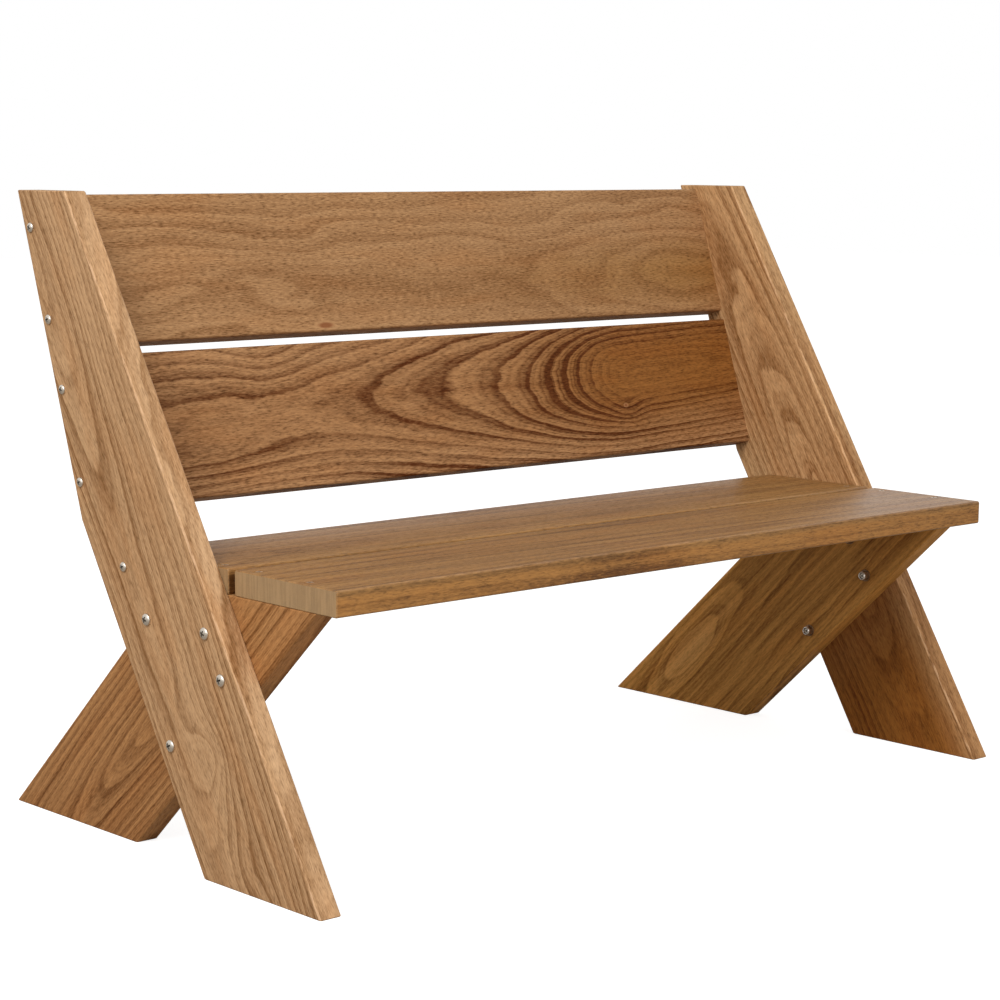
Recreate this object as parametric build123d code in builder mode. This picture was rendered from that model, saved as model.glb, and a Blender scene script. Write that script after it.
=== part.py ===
"""Slant-legged plank bench: two crossed side frames that carry a two-board seat and a two-board back.

Millimetres, +Z up, +X along the bench to the right of someone who faces it, front towards -Y.
The origin is on the ground, under the middle of the bench. Every board has the same section.
"""
from math import acos, atan2, cos, hypot, radians, sin, tan
import os

from build123d import *

# Whole bench: length over the side rails, depth over the blunted tips of the feet
overall_length = 1200.0
overall_depth = 688.0
seat_height = 369.0

# Board section shared by the rails, legs, seat and back
board_width = 190.0
board_thickness = 31.0
edge_radius = 3.0
end_chamfer = 1.2

# Lean of the back from upright, in degrees
back_lean = 17.9

# Where the middle lines of rail and leg cross: a share of the depth behind the front tips, and a share of
# the seat's height over the ground
crossing_depth_share = 0.3918
crossing_height_share = 0.6961

# Seat boards: how far they reach past the tips of the cross legs, and the gap between them
seat_overhang = 36.5
seat_gap = 12.0

# Back boards: height over the seat of the corner where the rails' taper starts, distance from there up
# to the lower board, gap between the boards, and how far the rails stand above the top one
taper_rise = 31.0
back_start = 7.0
back_gap = 14.0
top_margin = 5.0

# Bolts that clamp each cross leg to its side rail
bolt_diameter = 8.0
bolt_head_diameter = 15.0
bolt_head_height = 5.0
bolt_inset = 26.0
bolt_end_recess = 2.0
upper_bolt_share = 0.545

# Washers and lock nuts on the inner ends of the bolts
washer_diameter = 17.0
washer_thickness = 1.6
nut_width = 13.0
nut_height = 8.0
nut_collar_diameter = 11.6
nut_collar_height = 2.4

# Pan head screws through the side rails into the board ends
screw_diameter = 6.0
screw_head_diameter = 12.0
screw_head_height = 4.0
screw_bite = 36.0
screw_point = 6.0
back_screw_inset = 37.0
end_screw_inset = 21.0

# Countersunk screws through the seat boards into the tops of the cross legs
seat_screw_diameter = 5.0
seat_screw_head_diameter = 10.0
seat_screw_bite = 18.0
seat_screw_point = 5.0
seat_screw_sink = 0.3
seat_screw_inset = 27.0
tip_screw_inset = 32.0
countersink_angle = 90

# Clearance round every shank, and how far a cut runs past the face it starts from
fit_gap = 0.2
overrun = 4.0

# Flat land on top of a domed head, as a share of the head's radius
head_land_share = 0.5

# Planes of the side frames, measured from the middle of the bench
rail_outer = overall_length / 2
rail_inner = rail_outer - board_thickness
leg_inner = rail_inner - board_thickness
leg_middle = (rail_inner + leg_inner) / 2
clear_length = 2 * rail_inner

SIDES = {"left": -1, "right": 1}


def inset(edge, distance):
    """An edge (y on the ground, y per z) moved back by a distance square to itself, or forward if negative."""
    ground_y, slope = edge
    return ground_y + distance * hypot(1, slope), slope


def lean_to(reach, height):
    """Lean from upright, in radians, of a board whose tip on the ground is a reach away from its crossing."""
    return acos(board_width / 2 / hypot(reach, height)) - atan2(height, reach)


def edge_y(edge, z):
    """The edge's y at a height."""
    ground_y, slope = edge
    return ground_y + slope * z


def crossing(edge, other):
    """The point (y, z) where two slanted edges meet."""
    z = (other[0] - edge[0]) / (edge[1] - other[1])
    return edge_y(edge, z), z


# Lean of the crossed boards, so that both reach the ground at the ends of the depth
crossing_height = seat_height * crossing_height_share
rail_lean = lean_to(overall_depth * crossing_depth_share, crossing_height)
leg_lean = lean_to(overall_depth * (1 - crossing_depth_share), crossing_height)

# Long edges of the crossed boards in the side view; chamfers bring in the tips of the feet a little
seat_underside = seat_height - board_thickness
toe_y = -overall_depth / 2 - end_chamfer * sin(rail_lean)
heel_y = overall_depth / 2 + end_chamfer * sin(leg_lean)
rail_front = (toe_y, tan(rail_lean))
rail_back = inset(rail_front, board_width)
leg_back = (heel_y, -tan(leg_lean))
leg_front = inset(leg_back, -board_width)
leg_tip_y = edge_y(leg_front, seat_underside)

# Corner where the rails' back edge turns upright to carry the back boards, and the height up to the top
turn_height = seat_height + taper_rise
turn = Vector(0, edge_y(rail_back, turn_height), turn_height)
back_plane = Plane(
    origin=turn,
    x_dir=(1, 0, 0),
    z_dir=(0, -cos(radians(back_lean)), sin(radians(back_lean))),
)
back_end = back_start + 2 * board_width + back_gap
top_corner = back_plane.from_local_coords((0, back_end, board_thickness))
overall_height = top_corner.Z + top_margin

# Front edges of the two seat boards and bottom edges of the two back boards
seat_starts = {
    "front_seat_board": leg_tip_y - seat_overhang,
    "rear_seat_board": leg_tip_y - seat_overhang + board_width + seat_gap,
}
back_starts = {
    "lower_back_board": back_start,
    "top_back_board": back_start + board_width + back_gap,
}

# Bolt places (y, z): two in the lower corners of the lap, and two level with each other further up,
# at a share of the height from the front one of those to the top of the lap or the seat, the lower of them
lap_front = inset(rail_front, bolt_inset)
lap_back = inset(rail_back, -bolt_inset)
lap_bottom = inset(leg_front, bolt_inset)
lap_top = inset(leg_back, -bolt_inset)
front_corner = crossing(lap_front, lap_bottom)
rear_corner = crossing(lap_back, lap_bottom)
lap_height = min(crossing(lap_front, lap_top)[1], seat_underside)
bolt_level = front_corner[1] + (lap_height - front_corner[1]) * upper_bolt_share
bolt_places = [
    front_corner,
    rear_corner,
    (edge_y(lap_front, bolt_level), bolt_level),
    (edge_y(lap_top, bolt_level), bolt_level),
]


def back_screw_places(board):
    """Two screw places (y, z) in the end of a back board, in the middle of its thickness."""
    start = back_starts[board]
    heights = (start + back_screw_inset, start + board_width - back_screw_inset)
    points = [back_plane.from_local_coords((0, height, board_thickness / 2)) for height in heights]
    return [(point.Y, point.Z) for point in points]


rear_edge = seat_starts["rear_seat_board"] + board_width
end_screw_places = [(rear_edge - end_screw_inset, seat_height - board_thickness / 2)]
seat_screw_ys = {
    "front_seat_board": [
        leg_tip_y + tip_screw_inset,
        seat_starts["front_seat_board"] + board_width - seat_screw_inset,
    ],
    "rear_seat_board": [seat_starts["rear_seat_board"] + seat_screw_inset],
}


def facing_out(side, x, places):
    """Planes on an end or outer face, one at each (y, z), that look away from the bench."""
    return [Plane(origin=(side * x, y, z), x_dir=(0, side, 0), z_dir=(side, 0, 0)) for y, z in places]


def facing_in(side, x, places):
    """Planes on an inner face, one at each (y, z), that look towards the middle of the bench."""
    return [Plane(origin=(side * x, y, z), x_dir=(0, -side, 0), z_dir=(-side, 0, 0)) for y, z in places]


def facing_up(z, board, sides):
    """Planes at a height that look up, one at each of a seat board's screws over the given legs."""
    return [Plane(origin=(side * leg_middle, y, z)) for side in sides for y in seat_screw_ys[board]]


def side_rail(side):
    """Board from the front foot up to the top of the back, thinned above the seat along its back edge."""
    outline = [
        (edge_y(rail_front, 0), 0),
        (edge_y(rail_back, 0), 0),
        (turn.Y, turn.Z),
        (turn.Y + (overall_height - turn.Z) * tan(radians(back_lean)), overall_height),
        (edge_y(rail_front, overall_height), overall_height),
    ]
    screw_places = end_screw_places + [place for board in back_starts for place in back_screw_places(board)]
    with BuildPart() as rail:
        with BuildSketch(Plane.YZ.offset(side * (rail_inner + rail_outer) / 2)):
            with BuildLine():
                Polyline(*outline, close=True)
            make_face()
        extrude(amount=board_thickness / 2, both=True)
        fillet(rail.faces().filter_by(Axis.X).edges().filter_by(Axis.Y, reverse=True), radius=edge_radius)
        chamfer(rail.faces().filter_by(Axis.Z).edges(), length=end_chamfer)
        with Locations(*facing_out(side, rail_outer, bolt_places)):
            Hole(radius=bolt_diameter / 2 + fit_gap, depth=board_thickness + overrun)
        with Locations(*facing_out(side, rail_outer, screw_places)):
            Hole(radius=screw_diameter / 2 + fit_gap, depth=board_thickness + overrun)
    return rail


def cross_leg(side):
    """Board from the rear foot forward and up to the seat, lapped on the rail's inner face."""
    outline = [
        (edge_y(leg_front, 0), 0),
        (edge_y(leg_back, 0), 0),
        (edge_y(leg_back, seat_underside), seat_underside),
        (leg_tip_y, seat_underside),
    ]
    with BuildPart() as leg:
        with BuildSketch(Plane.YZ.offset(side * leg_middle)):
            with BuildLine():
                Polyline(*outline, close=True)
            make_face()
        extrude(amount=board_thickness / 2, both=True)
        fillet(leg.faces().filter_by(Axis.X).edges().filter_by(Axis.Y, reverse=True), radius=edge_radius)
        chamfer(leg.faces().filter_by(Axis.Z).edges(), length=end_chamfer)
        with Locations(*facing_out(side, rail_inner, bolt_places)):
            Hole(radius=bolt_diameter / 2 + fit_gap, depth=board_thickness + overrun)
        for board in seat_starts:
            with Locations(*facing_up(seat_underside, board, [side])):
                Hole(radius=seat_screw_diameter / 2 + fit_gap, depth=seat_screw_bite + fit_gap)
    return leg


def seat_board(name):
    """Flat board of the seat, countersunk from above; the rear one also takes a screw in each end."""
    with BuildPart() as board:
        with BuildSketch(Plane.XY.offset(seat_underside)):
            with Locations((0, seat_starts[name] + board_width / 2)):
                Rectangle(clear_length, board_width)
        extrude(amount=board_thickness)
        fillet(board.edges().filter_by(Axis.X), radius=edge_radius)
        chamfer(board.faces().filter_by(Axis.X).edges(), length=end_chamfer)
        with Locations(*facing_up(seat_height, name, SIDES.values())):
            CounterSinkHole(
                radius=seat_screw_diameter / 2 + fit_gap,
                counter_sink_radius=seat_screw_head_diameter / 2 + seat_screw_sink + fit_gap,
                depth=board_thickness + overrun,
                counter_sink_angle=countersink_angle,
            )
        if name == "rear_seat_board":
            for side in SIDES.values():
                with Locations(*facing_out(side, rail_inner, end_screw_places)):
                    Hole(radius=screw_diameter / 2 + fit_gap, depth=screw_bite + fit_gap)
    return board


def back_board(name):
    """Leaning board of the back, flush with the rails' tapered edge, with screw holes in its ends."""
    with BuildPart() as board:
        with BuildSketch(back_plane):
            with Locations((0, back_starts[name] + board_width / 2)):
                Rectangle(clear_length, board_width)
        extrude(amount=board_thickness)
        fillet(board.edges().filter_by(Axis.X), radius=edge_radius)
        for side in SIDES.values():
            with Locations(*facing_out(side, rail_inner, back_screw_places(name))):
                Hole(radius=screw_diameter / 2 + fit_gap, depth=screw_bite + fit_gap)
    return board


def domed_fastener(diameter, head_diameter, head_height, length, point):
    """Screw or bolt whose domed head sits on z = 0; the shank ends in a cone as long as the point."""
    head_radius = head_diameter / 2
    land_radius = head_radius * head_land_share
    dome_centre = (head_height**2 + land_radius**2 - head_radius**2) / (2 * head_height)
    dome_radius = hypot(head_radius, dome_centre)
    top = [(land_radius, head_height), (0, head_height)]
    shank = [(0, -length), (diameter / 2, point - length), (diameter / 2, 0), (head_radius, 0)]
    with BuildPart() as fastener:
        with BuildSketch(Plane.XZ):
            with BuildLine():
                RadiusArc((head_radius, 0), (land_radius, head_height), -dome_radius)
                Polyline(*top, *shank)
            make_face()
        revolve(axis=Axis.Z)
    return fastener


def seat_screw():
    """Countersunk screw whose flat head is at z = 0, with a shank that runs down to a point."""
    head_radius = seat_screw_head_diameter / 2
    shank_radius = seat_screw_diameter / 2
    cone = (head_radius - shank_radius) / tan(radians(countersink_angle / 2))
    length = board_thickness - seat_screw_sink + seat_screw_bite
    with BuildPart() as screw:
        with BuildSketch(Plane.XZ):
            with BuildLine():
                Polyline(
                    (0, 0),
                    (head_radius, 0),
                    (shank_radius, -cone),
                    (shank_radius, seat_screw_point - length),
                    (0, -length),
                    close=True,
                )
            make_face()
        revolve(axis=Axis.Z)
    return screw


def lock_nut():
    """Hexagon nut that sits on z = 0, with a round collar that holds the locking ring."""
    hexagon_height = nut_height - nut_collar_height
    with BuildPart() as nut:
        with BuildSketch():
            RegularPolygon(radius=nut_width / 2, side_count=6, major_radius=False)
        extrude(amount=hexagon_height)
        with BuildSketch(Plane.XY.offset(hexagon_height)):
            Circle(nut_collar_diameter / 2)
        extrude(amount=nut_collar_height)
        Hole(radius=bolt_diameter / 2 + fit_gap)
    return nut


def washer():
    """Flat washer that sits on z = 0."""
    with BuildPart() as ring:
        with BuildSketch():
            Circle(washer_diameter / 2)
            Circle(bolt_diameter / 2 + fit_gap, mode=Mode.SUBTRACT)
        extrude(amount=washer_thickness)
    return ring


def fastener_group(fastener, places):
    """Identical fasteners, one solid at each place, that share a node."""
    with BuildPart() as group:
        with Locations(*places):
            add(fastener.part)
    return group


def write(piece, label):
    """Labels a finished piece and writes it to its own file."""
    piece.part.label = label
    export_step(piece.part, f"parts/{label}.step")


os.makedirs("parts", exist_ok=True)

screw = domed_fastener(
    screw_diameter, screw_head_diameter, screw_head_height, board_thickness + screw_bite, screw_point
)
grip = 2 * board_thickness + washer_thickness
bolt = domed_fastener(
    bolt_diameter, bolt_head_diameter, bolt_head_height, grip + nut_height - bolt_end_recess, 0
)

for side_name, side in SIDES.items():
    write(side_rail(side), f"{side_name}_side_rail")
    write(cross_leg(side), f"{side_name}_cross_leg")
    write(fastener_group(bolt, facing_out(side, rail_outer, bolt_places)), f"{side_name}_frame_bolts")
    write(fastener_group(washer(), facing_in(side, leg_inner, bolt_places)), f"{side_name}_frame_washers")
    nut_places = facing_in(side, leg_inner - washer_thickness, bolt_places)
    write(fastener_group(lock_nut(), nut_places), f"{side_name}_frame_nuts")
    write(fastener_group(screw, facing_out(side, rail_outer, end_screw_places)), f"{side_name}_seat_end_screw")
    for name in back_starts:
        places = facing_out(side, rail_outer, back_screw_places(name))
        write(fastener_group(screw, places), f"{side_name}_{name.replace('board', 'screws')}")

for name in back_starts:
    write(back_board(name), name)

for name in seat_starts:
    write(seat_board(name), name)
    places = facing_up(seat_height - seat_screw_sink, name, SIDES.values())
    write(fastener_group(seat_screw(), places), name.replace("board", "screws"))
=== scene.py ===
"""Slant-legged plank bench of oiled hardwood with stainless fasteners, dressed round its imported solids.

Metres, +Z up, +X along the bench to the right of someone who faces it, front towards -Y.
"""
import logging
from dataclasses import dataclass
from enum import Enum
from math import cos, hypot, pi, radians, sin
from typing import Any, ClassVar, Mapping, Optional, Sequence, Union

import bmesh
import bpy
from mathutils import Matrix, Vector


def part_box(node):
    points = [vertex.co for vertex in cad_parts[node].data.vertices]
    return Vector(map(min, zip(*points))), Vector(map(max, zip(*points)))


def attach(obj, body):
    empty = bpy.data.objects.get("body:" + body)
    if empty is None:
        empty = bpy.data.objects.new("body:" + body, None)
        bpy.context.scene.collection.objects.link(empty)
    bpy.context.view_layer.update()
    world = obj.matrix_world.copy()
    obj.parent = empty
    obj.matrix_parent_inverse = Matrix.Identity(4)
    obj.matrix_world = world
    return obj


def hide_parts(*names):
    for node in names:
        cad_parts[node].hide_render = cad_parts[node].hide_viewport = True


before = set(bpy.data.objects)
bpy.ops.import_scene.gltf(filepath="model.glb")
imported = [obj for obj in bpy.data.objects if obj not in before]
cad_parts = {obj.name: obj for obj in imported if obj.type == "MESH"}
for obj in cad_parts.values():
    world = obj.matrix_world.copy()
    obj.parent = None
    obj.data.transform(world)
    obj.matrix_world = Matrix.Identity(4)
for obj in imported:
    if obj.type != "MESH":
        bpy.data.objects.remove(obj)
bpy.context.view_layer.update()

LOG = logging.getLogger("bench")

Point = tuple[float, float, float]
Colour = tuple[float, float, float]
Span = tuple[float, float]  # where a smooth step starts and ends
Stops = Sequence[tuple[float, float]]  # places and levels of a ramp
Pairs = Sequence[tuple[float, float]]  # two sizes for each level of a shape
Ring = Sequence[tuple[float, float]]  # radius and height at equal angles
Owner = Union[bpy.types.Material, bpy.types.World]

# Section shared by every board, and how far each kind leans from upright
BOARD_WIDTH = 0.190
BOARD_THICKNESS = 0.031
RAIL_LEAN = radians(31.6)
LEG_LEAN = radians(47.3)
BACK_LEAN = radians(17.9)


def tone(red: float, green: float, blue: float) -> Colour:
    """Scene-linear colour of a tone on a screen.

    Args:
        red: its red, from 0 to 255.
        green: its green, the same way.
        blue: its blue, the same way.

    Returns:
        The colour.
    """

    def linear(level: float) -> float:
        """One channel of it, by the usual curve of a screen."""
        share = level / 255
        return share / 12.92 if share <= 0.04045 else ((share + 0.055) / 1.055) ** 2.4

    return linear(red), linear(green), linear(blue)


def scaled(colour: Colour, scale: float, lift: float = 0.0) -> Colour:
    """A colour made lighter or darker, and greyer by the lift."""
    return tuple(min(1.0, level * scale + lift) for level in colour)


class Side(Enum):
    """The two ends of the bench, as seen by someone who faces it."""

    LEFT = -1
    RIGHT = 1

    @property
    def word(self) -> str:
        """The word that starts the names of this side's pieces."""
        return self.name.lower()


class Wire:
    """A node's output in a Python expression, where each operator adds a Math or Vector Math node."""

    def __init__(self, graph: "Graph", socket: Optional[bpy.types.NodeSocket]) -> None:
        """Keeps the socket and the graph that new nodes go to."""
        self.graph = graph
        self.socket = socket

    def _maths(self, operation: str, *operands: "Value") -> "Wire":
        """Adds the node for one operation on values, or on vectors where an operand is one.

        Args:
            operation: the operation's name.
            *operands: what it works on, in order.

        Returns:
            The result.
        """
        vectors = [item for item in operands if isinstance(item, Wire) and item.socket.type == "VECTOR"]
        kind = "ShaderNodeVectorMath" if vectors else "ShaderNodeMath"
        return self.graph.node(kind, {"operation": operation}, dict(enumerate(operands)))

    def __add__(self, other: "Value") -> "Wire":
        """self + other."""
        return self._maths("ADD", self, other)

    def __radd__(self, other: "Value") -> "Wire":
        """other + self."""
        return self._maths("ADD", other, self)

    def __sub__(self, other: "Value") -> "Wire":
        """self - other."""
        return self._maths("SUBTRACT", self, other)

    def __rsub__(self, other: "Value") -> "Wire":
        """other - self."""
        return self._maths("SUBTRACT", other, self)

    def __mul__(self, other: "Value") -> "Wire":
        """self * other."""
        return self._maths("MULTIPLY", self, other)

    def __rmul__(self, other: "Value") -> "Wire":
        """other * self."""
        return self._maths("MULTIPLY", other, self)

    def __truediv__(self, other: "Value") -> "Wire":
        """self / other."""
        return self._maths("DIVIDE", self, other)

    def __rtruediv__(self, other: "Value") -> "Wire":
        """other / self."""
        return self._maths("DIVIDE", other, self)

    def __pow__(self, other: "Value") -> "Wire":
        """self ** other."""
        return self._maths("POWER", self, other)

    def __rpow__(self, other: "Value") -> "Wire":
        """other ** self."""
        return self._maths("POWER", other, self)

    def __abs__(self) -> "Wire":
        """abs(self)."""
        return self._maths("ABSOLUTE", self)

    def fract(self) -> "Wire":
        """The part after the decimal point."""
        return self._maths("FRACT", self)

    def exp(self) -> "Wire":
        """e to the power of the value."""
        return self._maths("EXPONENT", self)

    def least(self, other: "Value") -> "Wire":
        """The lower of two values."""
        return self._maths("MINIMUM", self, other)

    def most(self, other: "Value") -> "Wire":
        """The higher of two values."""
        return self._maths("MAXIMUM", self, other)

    def dot(self, direction: Point) -> "Wire":
        """The length of a vector along a direction."""
        settings = {"operation": "DOT_PRODUCT"}
        return self.graph.node("ShaderNodeVectorMath", settings, {0: self, 1: direction}, "Value")

    def rise(self, start: float, end: float) -> "Wire":
        """A smooth step from 0 at the start to 1 at the end, or down where the end is the lower.

        Args:
            start: value at which the result is 0.
            end: value at which the result is 1.

        Returns:
            The stepped value.
        """
        sockets = {"Value": self, "From Min": start, "From Max": end}
        return self.graph.node("ShaderNodeMapRange", {"interpolation_type": "SMOOTHSTEP"}, sockets)


Value = Union[Wire, float, Colour]


class Graph:
    """The node tree of a material or a world."""

    def __init__(self, owner: Owner) -> None:
        """Empties the tree of its owner.

        Args:
            owner: the new material or world.
        """
        owner.use_nodes = True
        self.owner = owner
        self.tree = owner.node_tree
        self.tree.nodes.clear()

    def node(
        self,
        kind: str,
        settings: Optional[Mapping[str, Any]] = None,
        sockets: Optional[Mapping[Union[int, str], Value]] = None,
        output: Union[int, str] = 0,
    ) -> Wire:
        """Adds a node.

        Args:
            kind: the node's type.
            settings: its properties; "stops" holds the places and levels of a ramp's stops.
            sockets: numbers, colours, vectors or wires for its inputs.
            output: which output the result stands for.

        Returns:
            The wire that leaves that output, which the last node of a tree doesn't have.
        """
        node = self.tree.nodes.new(kind)
        for name, setting in (settings or {}).items():
            if name == "stops":
                self._set_stops(node.color_ramp, setting)
            else:
                setattr(node, name, setting)
        for name, value in (sockets or {}).items():
            self._feed(node.inputs[name], value)
        return Wire(self, node.outputs[output] if len(node.outputs) else None)

    @staticmethod
    def _set_stops(ramp: bpy.types.ColorRamp, stops: Stops) -> None:
        """Gives a ramp its grey stops.

        Args:
            ramp: the ramp, new and with two stops of its own.
            stops: the place and level of each, two at least.
        """
        while len(ramp.elements) < len(stops):
            ramp.elements.new(1.0)
        for element, (place, level) in zip(ramp.elements, stops):
            element.position = place
            element.color = (level, level, level, 1.0)

    def _feed(self, socket: bpy.types.NodeSocket, value: Value) -> None:
        """Links a wire to a socket, or sets the socket's own value.

        Args:
            socket: the input.
            value: the wire, number, colour or vector for it.
        """
        if isinstance(value, Wire):
            self.tree.links.new(value.socket, socket)
        elif socket.type == "RGBA":
            socket.default_value = (*value, 1.0)
        else:
            socket.default_value = value

    def mix(self, share: Value, first: Value, second: Value, blend: str = "MIX") -> Wire:
        """Mixes two colours.

        Args:
            share: 0 keeps the first colour and 1 gives the second.
            first: colour at 0.
            second: colour at 1.
            blend: how the second is laid over the first.

        Returns:
            The mixed colour.
        """
        settings = {"data_type": "RGBA", "blend_type": blend}
        return self.node("ShaderNodeMix", settings, {0: share, 6: first, 7: second}, 2)

    def vector(self, x: Value, y: Value, z: Value) -> Wire:
        """A vector from three values."""
        return self.node("ShaderNodeCombineXYZ", None, {0: x, 1: y, 2: z})

    def noise(self, place: Wire, detail: float = 2.0, roughness: float = 0.5) -> Wire:
        """Smooth noise about 0.5 at a place.

        Args:
            place: the vector to read it at, one unit per wave.
            detail: how many finer layers it has.
            roughness: how strong each finer layer is.

        Returns:
            The noise value.
        """
        sockets = {"Vector": place, "Scale": 1.0, "Detail": detail, "Roughness": roughness}
        return self.node("ShaderNodeTexNoise", {"noise_dimensions": "3D"}, sockets, "Fac")

    def shade(self, shader: Wire) -> Owner:
        """Ends the tree with a shader.

        Args:
            shader: the shader of the surface or the sky.

        Returns:
            The finished material or world.
        """
        world = isinstance(self.owner, bpy.types.World)
        self.node("ShaderNodeOutputWorld" if world else "ShaderNodeOutputMaterial", None, {"Surface": shader})
        return self.owner


def add_object(name: str, data: bpy.types.ID) -> bpy.types.Object:
    """Puts a new object in the scene.

    Args:
        name: name of the object.
        data: its mesh, lamp or camera.

    Returns:
        The object.
    """
    item = bpy.data.objects.new(name, data)
    bpy.context.scene.collection.objects.link(item)
    return item


def new_graph(name: str) -> Graph:
    """The empty tree of a new material of that name."""
    return Graph(bpy.data.materials.new(name))


@dataclass(frozen=True)
class Knot:
    """An oval place in the face of a board, such as a pin-sized knot.

    Attributes:
        along: its place along the board.
        across: its place over the width.
        length: how far it reaches along.
        width: how far it reaches across.
    """

    along: float
    across: float
    length: float
    width: float


@dataclass(frozen=True)
class Swirl(Knot):
    """A wide place where the rings bulge, as they do near a branch.

    Attributes:
        lift: how many rings it pushes the figure by.
    """

    lift: float = 0.0


@dataclass(frozen=True)
class Grain:
    """A noise pattern in a board's own axes, or in the bench's.

    Attributes:
        waves: waves per metre along, across and through the board, or along X, Y and Z.
        detail: how many finer layers it has.
        roughness: how strong each finer layer is.
    """

    waves: Point
    detail: float = 2.0
    roughness: float = 0.5


@dataclass(frozen=True)
class Figure:
    """How a board was sawn from its log, and where its rings close into an eye, in the board's own metres.

    Attributes:
        eye: place of the eye, along and across the board; it may lie beyond the ends.
        ring: usual distance between rings.
        depth: how far beyond the board's shown face the heart of the log ran.
        stretch: how many times longer than wide the rings are drawn, before and beyond the eye.
        reach: widest that the rings open away from the eye.
        point: how blunt their tips are, from 1 for sharp ones.
        tilt: how far the figure's middle line climbs over the width, per length, towards the start.
        drift: how many rings the figure wanders.
        uneven: how unequal the rings are, in rings.
        strength: how plainly the rings show, where 1 is usual.
        bold: place along the board about which the rings show most, and how far that reaches, if anywhere.
        core: radius within which the rings fade.
        flush: radius out to which the heart's tone spreads; on the top back board that tone is painted shade.
        phase: share of a ring that the whole figure is shifted by.
        seed: offset that sets this board's noise apart.
        swirls: places where the rings bulge.
        knots: the knots in its face.
    """

    eye: tuple[float, float]
    ring: float
    depth: float = 0.004
    stretch: tuple[float, float] = (2.8, 2.8)
    reach: float = 0.09
    point: float = 2.0
    tilt: float = 0.0
    drift: float = 1.0
    uneven: float = 1.3
    strength: float = 1.0
    bold: Optional[tuple[float, float]] = None
    core: float = 0.0
    flush: float = 0.0
    phase: float = 0.0
    seed: float = 0.0
    swirls: tuple[Swirl, ...] = ()
    knots: tuple[Knot, ...] = ()


@dataclass(frozen=True)
class BoardAxes:
    """A board's own axes in the bench's frame.

    Attributes:
        corner: the corner that along, across and through are measured from.
        along: unit vector that the grain follows.
        across: unit vector over the width.
        through: unit vector through the thickness.
    """

    corner: Point
    along: Point
    across: Point
    through: Point


@dataclass(frozen=True)
class BoardSpot:
    """The shaded place in a board's own axes.

    Attributes:
        graph: the material's tree.
        seed: offset that sets this board's noise apart.
        along: distance along the grain.
        across: distance over the width.
        through: distance through the thickness.
    """

    graph: Graph
    seed: float
    along: Wire
    across: Wire
    through: Wire

    def noise(self, grain: Grain) -> Wire:
        """The value of a noise pattern, which the seed sets apart from other boards' ones.

        Args:
            grain: the pattern.

        Returns:
            The noise value, about 0.5.
        """
        place = self.graph.vector(
            self.along * grain.waves[0] + self.seed,
            self.across * grain.waves[1] + self.seed * 2,
            self.through * grain.waves[2] - self.seed,
        )
        return self.graph.noise(place, grain.detail, grain.roughness)

    def nearness(self, mark: Knot) -> Wire:
        """How near a knot or swirl is.

        Args:
            mark: the knot or swirl.

        Returns:
            The nearness, from 1 at its middle down to 0.
        """
        reach_along = (self.along - mark.along) / mark.length
        reach_across = (self.across - mark.across) / mark.width
        return ((reach_along * reach_along + reach_across * reach_across) * -1).exp()


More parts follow.
